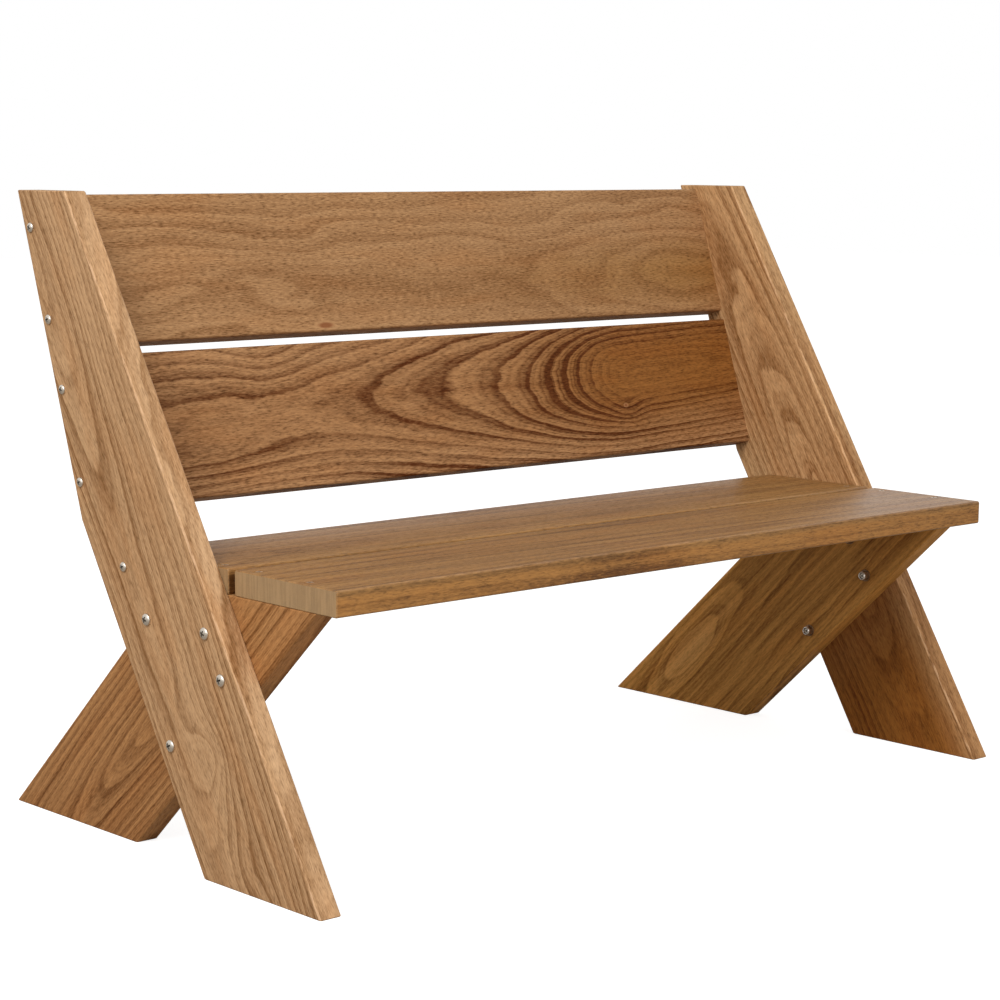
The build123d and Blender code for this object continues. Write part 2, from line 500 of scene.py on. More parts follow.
@dataclass(frozen=True)
class OiledHardwood:
    """Golden-brown open-pored hardwood, oiled and wiped to a low sheen.

    Attributes:
        pale: tone of the soft wood between the rings.
        dark: tone of the rings' dark lines.
        heart: tone of the wood about the heart of the log; on the top back board it is painted shade near the
            right end.
        end_grain: tone of the cut ends.
        streaks: how plainly the long streaks show.
        strokes: how plainly the short strokes of the pores show.
        gloss: roughness of the smooth wood.
        sheen: how strongly the surface mirrors light.
        wear_and_highlight: how pale the long edges are made, partly worn pale and partly a painted highlight.
        edge: what the colour of the front edge is multiplied by, except close to its upper or outer arris;
            above 1 it is partly the edge's own tone and partly painted light, below 1 it is painted shade.
        foot: how strong the painted shade over the foot is, where the seat and leg shade it; along is
            measured from the ground.
    """

    pale: Colour
    dark: Colour
    heart: Colour = tone(150, 96, 48)
    end_grain: Colour = tone(168, 137, 99)
    streaks: float = 0.7
    strokes: float = 1.0
    gloss: float = 0.46
    sheen: float = 0.08
    wear_and_highlight: float = 1.0
    edge: Colour = (1.0, 1.0, 1.0)
    foot: float = 0.0

    # A knot's tone, and what ruddy patches and the painted shade over a foot are multiplied by
    KNOT: ClassVar[Colour] = tone(128, 74, 42)
    RUDDY: ClassVar[Colour] = (0.98, 0.86, 0.74)
    DAMP: ClassVar[Colour] = (0.51, 0.29, 0.05)

    # How dark the wood is over the breadth of one ring, and over one of the fine rings in it
    BROAD_RING: ClassVar[Stops] = (
        (0.0, 0.2),
        (0.07, 1.0),
        (0.26, 0.62),
        (0.58, 0.18),
        (0.90, 0.0),
        (1.0, 0.2),
    )
    FINE_RING: ClassVar[Stops] = ((0.0, 0.0), (0.25, 1.0), (0.65, 0.10), (1.0, 0.0))
    FINE_RINGS_IN_ONE: ClassVar[float] = 3.3
    FINE_DEPTH: ClassVar[float] = 0.35
    RING_DEPTH: ClassVar[float] = 0.9

    # How the rings wander and ripple, how softly they turn round the eye, how they come and go, and how
    # they fade in the figure's core, whose span is in core radii
    SWAY: ClassVar[Grain] = Grain((3.0, 9.0, 9.0))
    RIPPLE: ClassVar[Grain] = Grain((17.0, 50.0, 50.0), roughness=0.6)
    RIPPLE_RINGS: ClassVar[float] = 0.45
    EYE_TURN: ClassVar[float] = 0.2
    PLAIN_SPAN: ClassVar[Span] = (0.25, 0.65)
    LEAST_PLAIN: ClassVar[float] = 0.35
    BOLD_FLOOR: ClassVar[float] = 0.56
    BOLD_GAIN: ClassVar[float] = 0.68
    CORE_SPAN: ClassVar[Span] = (1.15, 0.80)
    CORE_FADE: ClassVar[float] = 0.74
    CORE_RIPPLE: ClassVar[float] = 0.03

    # Waves per ring in how unequal the rings are, waves per ring and per metre along in how plainly they
    # show, and where the heart's tone is full, in core radii
    UNEVEN_WAVES: ClassVar[float] = 0.45
    PLAIN_WAVES: ClassVar[float] = 0.31
    PLAIN_WAVES_ALONG: ClassVar[float] = 1.5
    HEART_FULL: ClassVar[float] = 0.5

    # An even undertone, fibres, cloudy and ruddy patches, and the short strokes of the pores, which show
    # most on the rings, with glints between them, which show least there
    UNDERTONE: ClassVar[float] = 0.10
    FIBRES: ClassVar[Grain] = Grain((1.8, 110.0, 110.0), 4.0, 0.65)
    CLOUDS: ClassVar[Grain] = Grain((3.0, 12.0, 12.0))
    CLOUD_DEPTH: ClassVar[float] = 0.55
    PATCHES: ClassVar[Grain] = Grain((6.0, 30.0, 30.0))
    PATCH_SPAN: ClassVar[Span] = (0.45, 0.70)
    PATCH_DEPTH: ClassVar[float] = 0.5
    STROKES: ClassVar[Grain] = Grain((120.0, 660.0, 660.0), roughness=0.55)
    PORE_SPAN: ClassVar[Span] = (0.50, 0.72)
    PORE_DEPTH: ClassVar[float] = 0.70
    PORE_TONE: ClassVar[float] = 0.5
    PORES_BETWEEN_RINGS: ClassVar[float] = 0.7
    MORE_ON_RINGS: ClassVar[float] = 0.5
    GLINT_SPAN: ClassVar[Span] = (0.50, 0.30)
    GLINT_DEPTH: ClassVar[float] = 0.45
    GLINT_GAIN: ClassVar[Colour] = (1.4, 1.4, 1.4)
    LESS_ON_RINGS: ClassVar[float] = 0.7

    # A knot's pale rim and dark middle, and the height along the board and the edge across it of the foot's
    # painted shade
    KNOT_RIM: ClassVar[Span] = (0.05, 0.30)
    RIM_DEPTH: ClassVar[float] = 0.35
    RIM_TONE: ClassVar[float] = 1.3
    KNOT_MIDDLE: ClassVar[Span] = (0.25, 0.85)
    MIDDLE_DEPTH: ClassVar[float] = 0.85
    DAMP_HEIGHT: ClassVar[Span] = (0.55, 0.15)
    DAMP_EDGE: ClassVar[Span] = (-0.04, 0.05)

    # Which faces are ends or the front edge, and where through the board that edge's tint, with its painted
    # light and shade, ends
    END_FACING: ClassVar[Span] = (0.60, 0.95)
    FRONT_FACING: ClassVar[Span] = (-0.60, -0.95)
    EDGE_DEPTH: ClassVar[Span] = (BOARD_THICKNESS - 0.004, BOARD_THICKNESS - 0.011)

    # The saw's marks on the ends, and the arrises, partly worn pale and partly given a painted highlight
    SAWN: ClassVar[Grain] = Grain((1.0, 240.0, 18.0), roughness=0.6)
    SAWN_SPAN: ClassVar[Span] = (0.35, 0.65)
    SAWN_DEPTH: ClassVar[float] = 0.5
    SAWN_TONE: ClassVar[float] = 0.6
    END_DEPTH: ClassVar[float] = 0.85
    WEAR_AND_HIGHLIGHT: ClassVar[Grain] = Grain((40.0, 300.0, 300.0), 3.0, 0.6)
    WEAR_AND_HIGHLIGHT_SPAN: ClassVar[Span] = (0.42, 0.58)
    WEAR_AND_HIGHLIGHT_REACH: ClassVar[Span] = (0.0021, 0.0018)
    WEAR_AND_HIGHLIGHT_DEPTH: ClassVar[float] = 0.6
    WEAR_AND_HIGHLIGHT_TONE: ClassVar[tuple[float, float]] = (1.25, 0.10)

    # Strength and height of the relief, how far fibres rise and pores and rings sink in it, and how much
    # rougher pores, clouds and ends are
    BUMP_STRENGTH: ClassVar[float] = 0.35
    BUMP_HEIGHT: ClassVar[float] = 0.0006
    RELIEF: ClassVar[Point] = (0.4, 0.8, 0.3)
    ROUGHENING: ClassVar[Point] = (0.2, 0.12, 0.16)

    def material(self, name: str, axes: BoardAxes, figure: Figure) -> bpy.types.Material:
        """Makes the material of one board as a solid texture, so that faces, edges and ends agree.

        Args:
            name: name of the material.
            axes: the board's own axes.
            figure: how the board was sawn.

        Returns:
            The material.
        """
        graph = new_graph(name)
        place = graph.node("ShaderNodeTexCoord", output="Object") - axes.corner
        normal = graph.node("ShaderNodeTexCoord", output="Normal")
        along, across, through = (place.dot(axis) for axis in (axes.along, axes.across, axes.through))
        spot = BoardSpot(graph, figure.seed, along, across, through)
        rings, heartwood_and_shade = self._rings(figure, spot)
        fibres, clouds, strokes = map(spot.noise, (self.FIBRES, self.CLOUDS, self.STROKES))

        darkness = rings * self.RING_DEPTH + (fibres - 0.5) * self.streaks
        darkness = darkness + (clouds - 0.5) * self.CLOUD_DEPTH + self.UNDERTONE
        soft_wood = graph.mix(heartwood_and_shade, self.pale, self.heart)
        wood = graph.mix(darkness.most(0.0).least(1.0), soft_wood, self.dark)
        ruddy = spot.noise(self.PATCHES).rise(*self.PATCH_SPAN)
        wood = graph.mix(ruddy * self.PATCH_DEPTH, wood, self.RUDDY, "MULTIPLY")
        pores = strokes.rise(*self.PORE_SPAN) * (self.PORES_BETWEEN_RINGS + rings * self.MORE_ON_RINGS)
        wood = graph.mix(pores * (self.PORE_DEPTH * self.strokes), wood, scaled(self.dark, self.PORE_TONE))
        glints = strokes.rise(*self.GLINT_SPAN) * (1 - rings.least(1.0) * self.LESS_ON_RINGS)
        bright_wood = graph.mix(1.0, soft_wood, self.GLINT_GAIN, "MULTIPLY")
        wood = graph.mix(glints * (self.GLINT_DEPTH * self.strokes), wood, bright_wood)

        for knot in figure.knots:
            near = spot.nearness(knot)
            rim_wood = scaled(self.pale, self.RIM_TONE)
            wood = graph.mix(near.rise(*self.KNOT_RIM) * self.RIM_DEPTH, wood, rim_wood)
            wood = graph.mix(near.rise(*self.KNOT_MIDDLE) * self.MIDDLE_DEPTH, wood, self.KNOT)
        # Painted shade: the foot is darkened towards the ground, and less at the front edge, where the seat
        # and leg shade it
        if self.foot:
            drawn = along.rise(*self.DAMP_HEIGHT) * across.rise(*self.DAMP_EDGE)
            wood = graph.mix(drawn * self.foot, wood, self.DAMP, "MULTIPLY")

        # The front edge's tint: lighter edges are partly their own tone and partly painted light, and the
        # rear seat board's darker edge is painted shade in the gap between the boards
        front = normal.dot(axes.across).rise(*self.FRONT_FACING) * through.rise(*self.EDGE_DEPTH)
        wood = graph.mix(front, wood, self.edge, "MULTIPLY")
        end = abs(normal.dot(axes.along)).rise(*self.END_FACING)
        sawn = spot.noise(self.SAWN).rise(*self.SAWN_SPAN)
        sawn_wood = scaled(self.end_grain, self.SAWN_TONE)
        cut_wood = graph.mix(sawn * self.SAWN_DEPTH, self.end_grain, sawn_wood)
        wood = graph.mix(end * self.END_DEPTH, wood, cut_wood)
        # The long arrises are lightened: partly worn pale, and partly a painted highlight where they catch
        # the light
        arris_wear_and_highlight = self._arris_wear_and_highlight(spot) * (self.WEAR_AND_HIGHLIGHT_DEPTH * self.wear_and_highlight)
        wood = graph.mix(arris_wear_and_highlight, wood, scaled(self.pale, *self.WEAR_AND_HIGHLIGHT_TONE))

        fibre_rise, pore_sink, ring_sink = self.RELIEF
        relief = fibres * fibre_rise - pores * pore_sink - rings * ring_sink
        sockets = {"Strength": self.BUMP_STRENGTH, "Distance": self.BUMP_HEIGHT, "Height": relief}
        bump = graph.node("ShaderNodeBump", None, sockets, "Normal")
        in_pores, in_clouds, on_ends = self.ROUGHENING
        roughness = self.gloss + pores * in_pores + (clouds - 0.5) * in_clouds + end * on_ends
        sockets = {"Base Color": wood, "Roughness": roughness, "Normal": bump}
        sockets["Specular IOR Level"] = self.sheen
        return graph.shade(graph.node("ShaderNodeBsdfPrincipled", None, sockets))

    def _rings(self, figure: Figure, spot: BoardSpot) -> tuple[Wire, Value]:
        """The growth rings.

        Args:
            figure: how the board was sawn.
            spot: the place on the board.

        Returns:
            How dark the ring is here, and how much of the heart's tone the wood has, which on the top back
            board is painted shade.
        """
        graph = spot.graph
        sway = spot.noise(self.SWAY) - 0.5
        ripple = spot.noise(self.RIPPLE) - 0.5

        # Distance from the log's heart, opened along the board away from the eye
        beyond = spot.along - figure.eye[0]
        off_heart = spot.across + beyond * figure.tilt - figure.eye[1]
        past_heart = spot.through - (BOARD_THICKNESS + figure.depth)
        radius = (off_heart * off_heart + past_heart * past_heart) ** 0.5
        before_rate, beyond_rate = (1 / (stretch * figure.reach) for stretch in figure.stretch)
        away = (beyond * -before_rate).most(beyond * beyond_rate)
        away = (away * away + self.EYE_TURN**2) ** 0.5 - self.EYE_TURN
        opening = (1 - (away * -1).exp()) * figure.reach
        spread = (radius**figure.point + opening**figure.point) ** (1 / figure.point)

        # Which ring this is, where in it, and how dark that is
        count = spread / figure.ring + figure.phase + sway * (figure.drift * 2) + ripple * self.RIPPLE_RINGS
        for swirl in figure.swirls:
            count = count + spot.nearness(swirl) * swirl.lift
        uneven = graph.noise(graph.vector(count * self.UNEVEN_WAVES, figure.seed, 0.0), 1.0) - 0.5
        turns = (count + uneven * figure.uneven, count * self.FINE_RINGS_IN_ONE + uneven * 2)
        broad, fine = (
            graph.node("ShaderNodeRGBToBW", None, {0: self._ramp(turn, stops)})
            for turn, stops in zip(turns, (self.BROAD_RING, self.FINE_RING))
        )

        # How plainly the rings show here
        waves_over, waves_along = count * self.PLAIN_WAVES, spot.along * self.PLAIN_WAVES_ALONG
        contrast = graph.noise(graph.vector(waves_over, figure.seed + 7.0, waves_along), 1.0)
        plain = contrast.rise(*self.PLAIN_SPAN) * (1 - self.LEAST_PLAIN) + self.LEAST_PLAIN
        shown = plain * figure.strength
        if figure.bold:
            from_bold = (spot.along - figure.bold[0]) / figure.bold[1]
            shown = shown * (self.BOLD_FLOOR + (from_bold * from_bold * -1).exp() * self.BOLD_GAIN)
        rings = (broad + fine * self.FINE_DEPTH).least(1.0) * shown
        blurred = spread + ripple * self.CORE_RIPPLE
        if figure.core:
            core = blurred.rise(*(figure.core * share for share in self.CORE_SPAN))
            rings = rings * (1 - core * self.CORE_FADE)
        return rings, blurred.rise(figure.flush, figure.core * self.HEART_FULL) if figure.flush else 0.0

    @staticmethod
    def _ramp(turn: Wire, stops: Stops) -> Wire:
        """The colour that a ramp gives to the part of a ring count after the decimal point."""
        return turn.graph.node("ShaderNodeValToRGB", {"stops": stops}, {0: turn.fract()})

    def _arris_wear_and_highlight(self, spot: BoardSpot) -> Wire:
        """Where the long edges are worn pale and carry a painted highlight, broken up along the edge.

        Args:
            spot: the place on the board.

        Returns:
            How worn and highlighted the place is, from 0 to 1.
        """
        to_side = spot.across.least(BOARD_WIDTH - spot.across)
        to_face = spot.through.least(BOARD_THICKNESS - spot.through)
        from_corner = (to_side.most(0.0) + to_face.most(0.0)).rise(*self.WEAR_AND_HIGHLIGHT_REACH)
        return from_corner * spot.noise(self.WEAR_AND_HIGHLIGHT).rise(*self.WEAR_AND_HIGHLIGHT_SPAN)


@dataclass(frozen=True)
class StainlessSteel:
    """Bright turned stainless steel of the screws, bolts, washers and nuts.

    Attributes:
        metal: tone of the bare metal.
        gloss: roughness of its polished parts.
    """

    metal: Colour = tone(204, 195, 182)
    gloss: float = 0.27

    # The haze and the turning marks, how the haze darkens and roughens, and the marks' strength and height
    HAZE: ClassVar[Grain] = Grain((420.0, 420.0, 420.0), 3.0, 0.6)
    MARKS: ClassVar[Grain] = Grain((500.0, 4000.0, 4000.0))
    HAZE_SPAN: ClassVar[Span] = (0.45, 0.75)
    HAZE_DEPTH: ClassVar[float] = 0.35
    HAZE_TONE: ClassVar[float] = 0.6
    ROUGHENING: ClassVar[float] = 0.18
    BUMP_STRENGTH: ClassVar[float] = 0.15
    BUMP_HEIGHT: ClassVar[float] = 0.0001

    def material(self, name: str) -> bpy.types.Material:
        """Makes the material, with faint turning marks and handling haze.

        Args:
            name: name of the material.

        Returns:
            The material.
        """
        graph = new_graph(name)
        place = graph.node("ShaderNodeTexCoord", output="Object")
        haze, marks = (
            graph.noise(place * grain.waves, grain.detail, grain.roughness)
            for grain in (self.HAZE, self.MARKS)
        )
        hazy_metal = scaled(self.metal, self.HAZE_TONE)
        metal = graph.mix(haze.rise(*self.HAZE_SPAN) * self.HAZE_DEPTH, self.metal, hazy_metal)
        sockets = {"Strength": self.BUMP_STRENGTH, "Distance": self.BUMP_HEIGHT, "Height": marks}
        bump = graph.node("ShaderNodeBump", None, sockets, "Normal")
        roughness = self.gloss + haze * self.ROUGHENING
        sockets = {"Base Color": metal, "Metallic": 1.0, "Roughness": roughness, "Normal": bump}
        return graph.shade(graph.node("ShaderNodeBsdfPrincipled", None, sockets))


@dataclass(frozen=True)
class DullCoat:
    """A dull coat with a faint haze: the plastic ring of a nut, or the painted shade in a driver's recess.

    Attributes:
        dark: its darker tone.
        light: its lighter tone.
    """

    dark: Colour
    light: Colour

    # Waves per metre of the haze, how much it roughens, and how rough and glossy the coat is
    HAZE: ClassVar[Point] = (900.0, 900.0, 900.0)
    ROUGHENING: ClassVar[float] = 0.2
    ROUGHNESS: ClassVar[float] = 0.5
    SHEEN: ClassVar[float] = 0.3

    def material(self, name: str) -> bpy.types.Material:
        """Makes the material.

        Args:
            name: name of the material.

        Returns:
            The material.
        """
        graph = new_graph(name)
        place = graph.node("ShaderNodeTexCoord", output="Object")
        haze = graph.noise(place * self.HAZE)
        colour = graph.mix(haze, self.dark, self.light)
        roughness = self.ROUGHNESS + haze * self.ROUGHENING
        sockets = {"Base Color": colour, "Roughness": roughness, "Specular IOR Level": self.SHEEN}
        return graph.shade(graph.node("ShaderNodeBsdfPrincipled", None, sockets))


def dress(node: str, material: bpy.types.Material) -> None:
    """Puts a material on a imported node.

    Args:
        node: the node's name.
        material: the material for its whole surface.
    """
    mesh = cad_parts[node].data
    mesh.materials.clear()
    mesh.materials.append(material)
    LOG.info("dressed %s with %s", node, material.name)


@dataclass
class SideFrame:
    """One end of the bench: a slanted rail with a cross leg lapped on its inner face.

    Attributes:
        side: which end it is.
        rail_wood: the rail's finish.
        leg_wood: the leg's finish.
        rail_figure: how the rail was sawn.
        leg_figure: how the leg was sawn.
    """

    side: Side
    rail_wood: OiledHardwood
    leg_wood: OiledHardwood
    rail_figure: Figure
    leg_figure: Figure

    def dress(self) -> None:
        """Gives the rail and the leg their wood."""
        rail, leg = f"{self.side.word}_side_rail", f"{self.side.word}_cross_leg"
        dress(rail, self.rail_wood.material(f"{rail}_wood", self._axes(rail, RAIL_LEAN, 1), self.rail_figure))
        dress(leg, self.leg_wood.material(f"{leg}_wood", self._axes(leg, LEG_LEAN, -1), self.leg_figure))

    @staticmethod
    def _axes(node: str, lean: float, rearward: int) -> BoardAxes:
        """Axes of a slanted board, from its foot's outer tip up along its outer edge.

        Args:
            node: the board's node.
            lean: how far it leans from upright.
            rearward: 1 where it climbs to the rear, -1 where it climbs to the front.

        Returns:
            The axes.
        """
        low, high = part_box(node)
        return BoardAxes(
            corner=(high.x, low.y if rearward > 0 else high.y, 0.0),
            along=(0.0, rearward * sin(lean), cos(lean)),
            across=(0.0, rearward * cos(lean), -sin(lean)),
            through=(-1.0, 0.0, 0.0),
        )


@dataclass
class Planks:
    """Boards that run along the bench, all at one lean.

    Attributes:
        woods: the finish of each board, by its node.
        figures: how each board was sawn, by its node.
    """

    woods: Mapping[str, OiledHardwood]
    figures: Mapping[str, Figure]

    # How far the boards lean from upright
    LEAN: ClassVar[float]

    def dress(self) -> None:
        """Gives each board its wood, with the axes measured from its lowest edge, if flat the front one."""
        for node, figure in self.figures.items():
            low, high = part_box(node)
            axes = BoardAxes(
                corner=(0.0, high.y - BOARD_WIDTH * sin(self.LEAN), low.z),
                along=(1.0, 0.0, 0.0),
                across=(0.0, sin(self.LEAN), cos(self.LEAN)),
                through=(0.0, -cos(self.LEAN), sin(self.LEAN)),
            )
            dress(node, self.woods[node].material(f"{node}_wood", axes, figure))


class Seat(Planks):
    """The two flat boards that are sat on."""

    LEAN: ClassVar[float] = radians(90)


class Back(Planks):
    """The two leaning boards behind the seat."""

    LEAN: ClassVar[float] = BACK_LEAN


def solid_boxes(node: str, weld: float = 1e-6) -> list[tuple[Vector, Vector]]:
    """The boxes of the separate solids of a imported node.

    Args:
        node: the node's name.
        weld: how near two corners of its mesh are to be the same one.

    Returns:
        The lowest and highest corner of each solid, ordered by place.
    """
    shape = bmesh.new()
    shape.from_mesh(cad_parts[node].data)
    bmesh.ops.remove_doubles(shape, verts=shape.verts, dist=weld)
    left = set(shape.verts)
    boxes = []
    while left:
        waiting = [left.pop()]
        places = []
        while waiting:
            corner = waiting.pop()
            places.append(corner.co.copy())
            for edge in corner.link_edges:
                other = edge.other_vert(corner)
                if other in left:
                    left.remove(other)
                    waiting.append(other)
        low = Vector(min(place[axis] for place in places) for axis in range(3))
        high = Vector(max(place[axis] for place in places) for axis in range(3))
        boxes.append((low, high))
    shape.free()
    return sorted(boxes, key=lambda box: tuple(round(level, 5) for level in box[0]))


def turned(rings: Sequence[Ring], closed: bool = False) -> bmesh.types.BMesh:
    """Joins rings round the local Z axis into a skin.

    Args:
        rings: each ring's radius and height at equal angles; a ring of one item is a point on the axis.
        closed: whether the last ring joins the first, as in a washer.

    Returns:
        The skin.
    """
    shape = bmesh.new()
    rows = []
    for ring in rings:
        angles = [2 * pi * index / len(ring) for index in range(len(ring))]
        rows.append([shape.verts.new((r * cos(a), r * sin(a), z)) for a, (r, z) in zip(angles, ring)])
    pairs = list(zip(rows, rows[1:])) + ([(rows[-1], rows[0])] if closed else [])
    for upper, lower in pairs:
        sides = max(len(upper), len(lower))
        for index in range(sides):
            after = (index + 1) % sides
            corners = [upper[index % len(upper)], lower[index % len(lower)]]
            corners += [lower[after % len(lower)], upper[after % len(upper)]]
            shape.faces.new(list(dict.fromkeys(corners)))
    bmesh.ops.recalc_face_normals(shape, faces=shape.faces)
    return shape


def as_mesh(shape: bmesh.types.BMesh, name: str, crease: float = radians(32)) -> bpy.types.Mesh:
    """Turns a skin into a mesh that is smooth except over sharp edges.

    Args:
        shape: the skin, which is used up.
        name: name of the mesh.
        crease: angle over which an edge stays sharp.

    Returns:
        The mesh.
    """
    for face in shape.faces:
        face.smooth = True
    for edge in shape.edges:
        edge.smooth = edge.is_manifold and edge.calc_face_angle(0.0) < crease
    mesh = bpy.data.meshes.new(name)
    shape.to_mesh(mesh)
    shape.free()
    return mesh


@dataclass(frozen=True)
class Fixing:
    """Sizes of a screw or bolt.

    Attributes:
        radius: outer radius of its thread.
        head_radius: radius of its head.
        head_height: how high its head stands; 0 for a countersunk one.
        length: length under a domed head, or the whole length of a countersunk screw.
        smooth: length of the shank's plain part.
        point: length of the cone at its end; 0 ends it flat.
    """

    radius: float
    head_radius: float
    head_height: float
    length: float
    smooth: float
    point: float = 0.0


@dataclass
class Fasteners:
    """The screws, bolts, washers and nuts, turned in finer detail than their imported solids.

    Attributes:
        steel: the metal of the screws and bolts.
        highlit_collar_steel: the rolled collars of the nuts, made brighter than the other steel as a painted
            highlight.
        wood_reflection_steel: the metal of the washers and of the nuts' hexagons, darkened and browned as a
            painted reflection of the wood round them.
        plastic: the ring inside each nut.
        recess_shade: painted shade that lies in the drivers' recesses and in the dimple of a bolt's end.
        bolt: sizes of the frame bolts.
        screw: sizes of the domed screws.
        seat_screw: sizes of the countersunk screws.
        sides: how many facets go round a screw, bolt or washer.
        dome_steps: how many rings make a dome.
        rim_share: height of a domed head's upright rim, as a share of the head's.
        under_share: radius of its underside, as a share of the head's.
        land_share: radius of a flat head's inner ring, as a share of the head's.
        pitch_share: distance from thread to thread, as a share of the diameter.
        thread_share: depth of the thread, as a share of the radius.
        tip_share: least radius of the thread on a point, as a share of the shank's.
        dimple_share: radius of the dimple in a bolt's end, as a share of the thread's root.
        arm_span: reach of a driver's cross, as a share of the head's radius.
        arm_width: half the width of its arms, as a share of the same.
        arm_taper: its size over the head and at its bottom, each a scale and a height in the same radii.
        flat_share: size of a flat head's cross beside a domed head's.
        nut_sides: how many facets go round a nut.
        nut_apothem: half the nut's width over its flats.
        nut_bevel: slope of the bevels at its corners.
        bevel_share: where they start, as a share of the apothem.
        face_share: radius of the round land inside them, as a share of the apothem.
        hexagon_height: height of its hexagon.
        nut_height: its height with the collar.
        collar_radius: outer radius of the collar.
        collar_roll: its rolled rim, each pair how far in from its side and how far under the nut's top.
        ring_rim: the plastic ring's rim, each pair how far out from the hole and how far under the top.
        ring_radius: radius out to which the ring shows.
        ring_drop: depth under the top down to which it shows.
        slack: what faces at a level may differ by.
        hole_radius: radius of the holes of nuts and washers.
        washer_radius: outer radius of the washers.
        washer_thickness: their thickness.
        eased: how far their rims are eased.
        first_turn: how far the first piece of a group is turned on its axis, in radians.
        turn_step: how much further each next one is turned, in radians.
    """

    steel: StainlessSteel
    highlit_collar_steel: StainlessSteel
    wood_reflection_steel: StainlessSteel
    plastic: DullCoat
    recess_shade: DullCoat
    bolt: Fixing = Fixing(
        radius=0.004, head_radius=0.0075, head_height=0.005, length=0.0696, smooth=0.034
    )
    screw: Fixing = Fixing(
        radius=0.003, head_radius=0.006, head_height=0.004, length=0.067, smooth=0.031, point=0.006
    )
    seat_screw: Fixing = Fixing(
        radius=0.0025, head_radius=0.005, head_height=0.0, length=0.0487, smooth=0.012, point=0.005
    )
    sides: int = 40
    dome_steps: int = 7
    rim_share: float = 0.28
    under_share: float = 0.97
    land_share: float = 0.55
    pitch_share: float = 0.36
    thread_share: float = 0.16
    tip_share: float = 0.12
    dimple_share: float = 0.5
    arm_span: float = 0.60
    arm_width: float = 0.16
    arm_taper: Pairs = ((1.08, 0.2), (0.55, -0.55))
    flat_share: float = 0.75
    nut_sides: int = 48
    nut_apothem: float = 0.0065
    nut_bevel: float = 0.55
    bevel_share: float = 0.97
    face_share: float = 0.95
    hexagon_height: float = 0.0056
    nut_height: float = 0.008
    collar_radius: float = 0.0058
    collar_roll: Pairs = ((0.0, 0.0008), (0.0003, 0.0002), (0.0006, 0.0), (0.0009, 0.0003))
    ring_rim: Pairs = ((0.0002, 0.0005), (0.0, 0.0009))
    ring_radius: float = 0.00495
    ring_drop: float = 0.0012
    slack: float = 0.0001
    hole_radius: float = 0.0042
    washer_radius: float = 0.0085
    washer_thickness: float = 0.0016
    eased: float = 0.0002
    first_turn: float = 0.35
    turn_step: float = 0.83

    def build(self) -> None:
        """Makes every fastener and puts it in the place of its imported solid."""
        metal = self.steel.material("stainless_steel")
        # The nuts' collars get brighter steel as a painted highlight
        collar = self.highlit_collar_steel.material("highlit_collar_steel")
        # The washers' and hexagons' steel is browned as a painted reflection of the wood round them
        oiled = self.wood_reflection_steel.material("wood_reflection_steel")
        ring = self.plastic.material("nut_ring")
        # Painted shade for the recesses and the bolt-end dimples
        recess_shade = self.recess_shade.material("painted_recess_shade")
        screw, bolt, countersunk = self._domed(self.screw), self._domed(self.bolt), self._countersunk()
        nut, washer = self._nut(), self._washer()
        for side in Side:
            outward, inward = (side.value, 0, 0), (-side.value, 0, 0)
            self._place(f"{side.word}_frame_bolts", bolt, outward, self.bolt.head_height, [metal, recess_shade])
            self._place(f"{side.word}_frame_washers", washer, inward, self.washer_thickness, [oiled])
            self._place(f"{side.word}_frame_nuts", nut, inward, self.nut_height, [oiled, ring, collar])
            for group in ("seat_end_screw", "lower_back_screws", "top_back_screws"):
                self._place(f"{side.word}_{group}", screw, outward, self.screw.head_height, [metal, recess_shade])
        for board in ("front", "rear"):
            self._place(f"{board}_seat_screws", countersunk, (0, 0, 1), 0.0, [metal, recess_shade])

    def _round(self, radius: float, height: float) -> Ring:
        """A plain round ring of a screw, bolt or washer."""
        return [(radius, height)] * self.sides

    def _shank(self, fixing: Fixing, length: float) -> list[Ring]:
        """Rings of a shank below z = 0: plain at first, then threaded down to its end.

        Args:
            fixing: sizes of the screw or bolt.
            length: depth of the shank's end.

        Returns:
            The rings, from the top down.
        """
        radius, point = fixing.radius, fixing.point
        pitch = 2 * radius * self.pitch_share
        root = radius * (1 - self.thread_share)
        rings = [self._round(radius, 0.0), self._round(radius, -fixing.smooth)]
        depth = fixing.smooth + pitch
        while depth < length - pitch / 2:
            taper = min(1.0, max(self.tip_share, (length - depth) / point)) if point else 1.0
            rings.append(self._round(root * taper, -(depth - pitch / 2)))
            rings.append(self._round(radius * taper, -depth))
            depth += pitch
        if point:
            return rings + [[(0.0, -length)]]
        dimple = root * self.dimple_share
        return rings + [self._round(root, -length), self._round(dimple, -length), [(0.0, dimple - length)]]

    def _domed(self, fixing: Fixing) -> bpy.types.Mesh:
        """A domed screw or bolt with a cross recess, its head standing on z = 0.

        Args:
            fixing: its sizes.

        Returns:
            The mesh.
        """
        top, rim = fixing.head_height, fixing.head_height * self.rim_share
        rings: list[Ring] = [[(0.0, top)]]
        for step in range(1, self.dome_steps + 1):
            turn = pi / 2 * step / self.dome_steps
            rings.append(self._round(fixing.head_radius * sin(turn), rim + (top - rim) * cos(turn)))
        rings.append(self._round(fixing.head_radius * self.under_share, 0.0))
        skin = turned(rings + self._shank(fixing, fixing.length))
        # Painted shade: the dimple in a bolt's end takes the dark second slot
        if not fixing.point:
            for face in skin.faces:
                middle = face.calc_center_median()
                inside = hypot(middle.x, middle.y) < fixing.radius / 3
                face.material_index = int(middle.z < -fixing.smooth and inside)
        return self._recessed(skin, fixing.head_radius, top, "domed")

